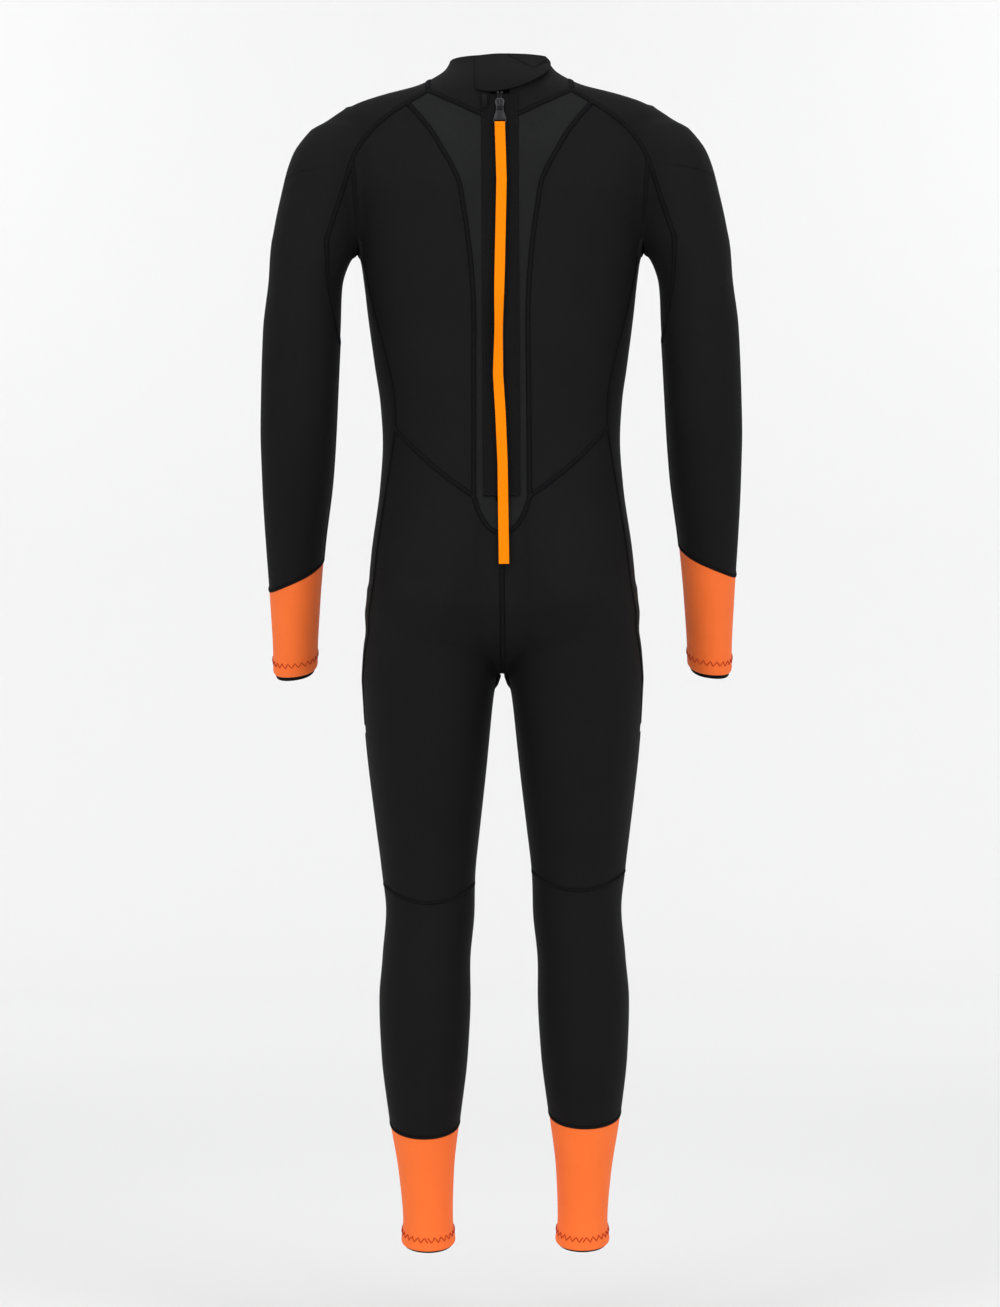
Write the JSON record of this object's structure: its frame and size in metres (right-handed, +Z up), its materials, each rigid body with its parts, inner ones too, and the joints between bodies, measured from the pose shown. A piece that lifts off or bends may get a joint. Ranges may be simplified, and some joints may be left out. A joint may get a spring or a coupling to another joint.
{
  "type": "full wetsuit",
  "caption": "Full-length neoprene wetsuit with back zip, long pull strap, overlapping collar flap, raglan sleeves, shaped panels and bright wrist and ankle cuffs.",
  "frame": {"origin": "centre of the neck opening, in the plane of the collar's rim", "axes": "+Z up out of the neck along the suit's length, -Y the way the back faces, +X towards the wearer's right arm"},
  "size_m": [0.6024, 0.2547, 1.4874],
  "materials": {
    "black_neoprene": "jersey-faced neoprene foam, matt",
    "centre_neoprene": "jersey-faced neoprene foam, fine rib, matt",
    "knee_rubber": "moulded abrasion face, matt",
    "orange_neoprene": "jersey-faced neoprene foam, matt",
    "black_jersey": "thin lining jersey",
    "hook_tape": "hook face",
    "zip_tape": "woven tape",
    "zip_coil": "moulded coil",
    "slider_metal": "satin",
    "orange_webbing": "woven webbing"
  },
  "bodies": {
    "suit": {"back_panel_right": "black_neoprene", "back_panel_left": "black_neoprene", "side_panel_right": "black_neoprene", "side_panel_left": "black_neoprene", "front_panel": "black_neoprene", "rear_leg_right": "black_neoprene", "rear_leg_left": "black_neoprene", "front_leg_right": "black_neoprene", "front_leg_left": "black_neoprene", "calf_right": "black_neoprene", "calf_left": "black_neoprene", "shin_right": "black_neoprene", "shin_left": "black_neoprene", "sleeve_right": "black_neoprene", "sleeve_left": "black_neoprene", "underarm_gusset_right": "black_neoprene", "underarm_gusset_left": "black_neoprene", "collar": "black_neoprene", "strap_keeper": "black_neoprene", "zip_panel": "centre_neoprene", "knee_pad_right": "knee_rubber", "knee_pad_left": "knee_rubber", "wrist_cuff_right": "orange_neoprene", "wrist_cuff_left": "orange_neoprene", "ankle_cuff_right": "orange_neoprene", "ankle_cuff_left": "orange_neoprene", "wrist_lining_right": "black_jersey", "wrist_lining_left": "black_jersey", "ankle_lining_right": "black_jersey", "ankle_lining_left": "black_jersey", "loop_pad": "black_jersey", "zip_tape_right": "zip_tape", "zip_tape_left": "zip_tape", "zip_batten": "zip_tape", "zip_chain_right": "zip_coil", "zip_chain_left": "zip_coil", "bottom_stop": "slider_metal", "top_stop_right": "slider_metal", "top_stop_left": "slider_metal"},
    "slider": {"zip_slider": "slider_metal"},
    "tab": {"pull_tab": "slider_metal"},
    "strap": {"pull_strap": "orange_webbing"},
    "flap": {"collar_flap": "black_neoprene", "hook_pad": "hook_tape"}
  },
  "joints": [
    {"name": "zip_slide", "type": "slide", "parent": "suit", "child": "slider", "axis": [0, -0.0549, -0.9985], "range_m": [0, 0.476]},
    {"name": "tab_pivot", "type": "hinge", "parent": "slider", "child": "tab", "pos_m": [0, -0.08434, -0.06706], "axis": [-1, 0, 0], "range_deg": [0, 100]},
    {"name": "strap_pivot", "type": "hinge", "parent": "tab", "child": "strap", "pos_m": [0, -0.08553, -0.08878], "axis": [-1, 0, 0], "range_deg": [0, 60]},
    {"name": "flap_fold", "type": "hinge", "parent": "suit", "child": "flap", "pos_m": [-0.03068, -0.07088, -0.02192], "axis": [0.0328, -0.4371, -0.8988], "range_deg": [0, 100]}
  ]
}
